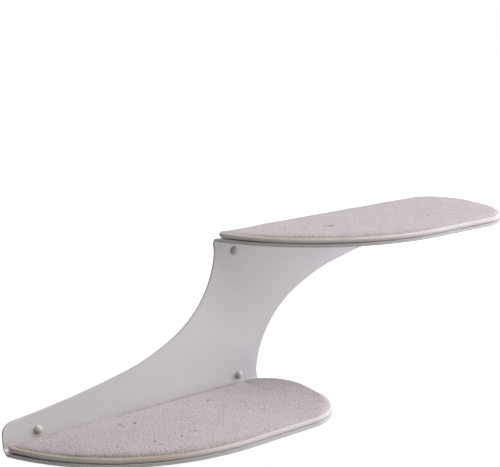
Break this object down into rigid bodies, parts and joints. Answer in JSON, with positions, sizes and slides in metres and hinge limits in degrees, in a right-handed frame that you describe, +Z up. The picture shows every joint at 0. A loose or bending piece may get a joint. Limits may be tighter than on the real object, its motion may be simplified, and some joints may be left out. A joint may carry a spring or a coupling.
{
  "type": "cat wall shelf",
  "caption": "Bent one-piece wall shelf for a cat with two leaf-shaped levels, each with a bound carpet pad that lifts off.",
  "frame": {"origin": "middle of the wall panel, on the face that lies against the wall", "axes": "+X along the wall to the right, +Y into the wall, +Z up"},
  "size_m": [1.047, 0.2703, 0.3402],
  "materials": {
    "sheet": "gloss",
    "carpet": "looped pile",
    "backing": "woven",
    "binding": "twill tape",
    "loop": "brushed loops",
    "hook": "hooks",
    "screw": "zinc plated",
    "washer": "moulded",
    "cap": "gloss"
  },
  "bodies": {
    "shelf": {"bent_shelf": "sheet", "lower_hook_strips": "hook", "upper_hook_strips": "hook", "screw_lower_left": "screw", "screw_lower_right": "screw", "screw_upper_left": "screw", "screw_upper_right": "screw", "washer_lower_left": "washer", "washer_lower_right": "washer", "washer_upper_left": "washer", "washer_upper_right": "washer"},
    "lower_pad": {"lower_carpet": "carpet", "lower_backing": "backing", "lower_binding": "binding", "lower_loop_strips": "loop"},
    "upper_pad": {"upper_carpet": "carpet", "upper_backing": "backing", "upper_binding": "binding", "upper_loop_strips": "loop"},
    "lower_left_cap": {"cap_lower_left": "cap"},
    "lower_right_cap": {"cap_lower_right": "cap"},
    "upper_left_cap": {"cap_upper_left": "cap"},
    "upper_right_cap": {"cap_upper_right": "cap"}
  },
  "joints": [
    {"name": "lower_pad_peel", "type": "slide", "parent": "shelf", "child": "lower_pad", "axis": [0, -0.8, 0.6], "range_m": [0, 0.12]},
    {"name": "upper_pad_peel", "type": "slide", "parent": "shelf", "child": "upper_pad", "axis": [0, -0.8, 0.6], "range_m": [0, 0.12]},
    {"name": "lower_left_cap_pull", "type": "slide", "parent": "shelf", "child": "lower_left_cap", "axis": [0, -1, 0], "range_m": [0, 0.03]},
    {"name": "lower_right_cap_pull", "type": "slide", "parent": "shelf", "child": "lower_right_cap", "axis": [0, -1, 0], "range_m": [0, 0.03]},
    {"name": "upper_left_cap_pull", "type": "slide", "parent": "shelf", "child": "upper_left_cap", "axis": [0, -1, 0], "range_m": [0, 0.03]},
    {"name": "upper_right_cap_pull", "type": "slide", "parent": "shelf", "child": "upper_right_cap", "axis": [0, -1, 0], "range_m": [0, 0.03]}
  ]
}
